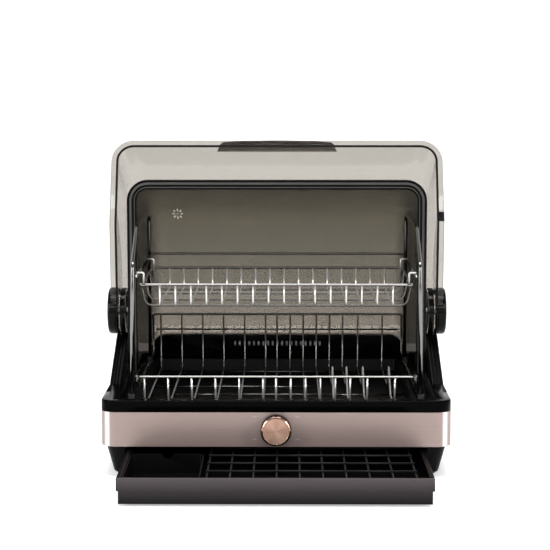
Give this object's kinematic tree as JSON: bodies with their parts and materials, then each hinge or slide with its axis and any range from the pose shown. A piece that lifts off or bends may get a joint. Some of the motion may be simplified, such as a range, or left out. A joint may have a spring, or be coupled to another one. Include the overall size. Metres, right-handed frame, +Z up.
{
  "type": "dish sterilizer cabinet",
  "caption": "Countertop dish sterilizer with a swinging clear lid, two-tier wire rack, timer knob and cutlery drawer.",
  "frame": {"origin": "middle of the base's footprint on the worktop, between the rubber feet", "axes": "+X to the right seen from the front, +Y to the back, +Z up"},
  "size_m": [0.465, 0.5613, 0.4167],
  "materials": {
    "gloss_black": "high-gloss moulded",
    "satin_black": "satin moulded",
    "drawer_front_grey": "glossy, dark smoke grey",
    "brushed_taupe": "brushed along its length, rose taupe",
    "spun_copper": "spun face with a bright bevel",
    "smoked_clear": "clear, lightly smoked",
    "smoked_dark": "clear, darker smoke",
    "chrome_wire": "bright plated wire",
    "plain_steel": "plain",
    "soft_rubber": "matt",
    "bare_aluminium": "bare",
    "lamp_glass": "clear tube"
  },
  "bodies": {
    "cabinet": {"base_housing": "satin_black", "bottom_plate": "plain_steel", "rubber_feet": "soft_rubber", "fascia_band": "brushed_taupe", "rim_deck": "gloss_black", "basin_tray": "satin_black", "drawer_runners": "satin_black", "base_screws": "plain_steel", "cord_gland": "satin_black", "timer_body": "satin_black", "air_duct": "gloss_black", "blower_housing": "satin_black", "blower_motor": "plain_steel", "heater_block": "bare_aluminium", "thermal_cutout": "plain_steel", "uv_lamp": "lamp_glass", "lamp_holders": "satin_black", "side_post_left": "satin_black", "side_post_right": "satin_black", "hub_collar_left": "gloss_black", "hub_collar_right": "gloss_black", "hinge_pin_left": "plain_steel", "hinge_pin_right": "plain_steel", "rear_shell": "smoked_clear", "rear_shell_rim": "gloss_black", "rack_frame_left": "chrome_wire", "rack_frame_right": "chrome_wire", "rack_feet": "soft_rubber", "support_rail": "chrome_wire", "lower_basket_rim": "chrome_wire", "lower_side_wires": "chrome_wire", "lower_basket_bars": "chrome_wire", "lower_cross_wires": "chrome_wire"},
    "lid": {"lid_shell": "smoked_clear", "lid_seal": "soft_rubber", "lid_handle": "smoked_dark", "switch_tab": "satin_black", "hub_cap_left": "gloss_black", "hub_cap_right": "gloss_black"},
    "upper_basket": {"upper_basket_rim": "chrome_wire", "upper_basket_bars": "chrome_wire", "upper_cross_wires": "chrome_wire", "upper_basket_hooks": "chrome_wire"},
    "drawer": {"drawer_tray": "satin_black", "drawer_front": "drawer_front_grey", "cutlery_box": "satin_black", "drawer_grate": "chrome_wire"},
    "knob": {"timer_knob": "gloss_black", "knob_cap": "spun_copper", "timer_shaft": "plain_steel"},
    "impeller": {"blower_impeller": "satin_black"}
  },
  "joints": [
    {"name": "lid_hinge", "type": "hinge", "parent": "cabinet", "child": "lid", "pos_m": [0, 0.02, 0.186], "axis": [1, 0, 0], "range_deg": [0, 112.6]},
    {"name": "drawer_slide", "type": "slide", "parent": "cabinet", "child": "drawer", "axis": [0, -1, 0], "range_m": [-0.151, 0.109]},
    {"name": "timer_turn", "type": "hinge", "parent": "cabinet", "child": "knob", "pos_m": [0, -0.191, 0.0635], "axis": [0, 1, 0], "range_deg": [0, 270]},
    {"name": "fan_spin", "type": "hinge", "parent": "cabinet", "child": "impeller", "pos_m": [-0.045, 0.12, 0.054], "axis": [0, 0, 1], "continuous": true},
    {"name": "upper_basket_lift", "type": "slide", "parent": "cabinet", "child": "upper_basket", "axis": [0, 0, 1], "range_m": [0, 0.03]}
  ]
}
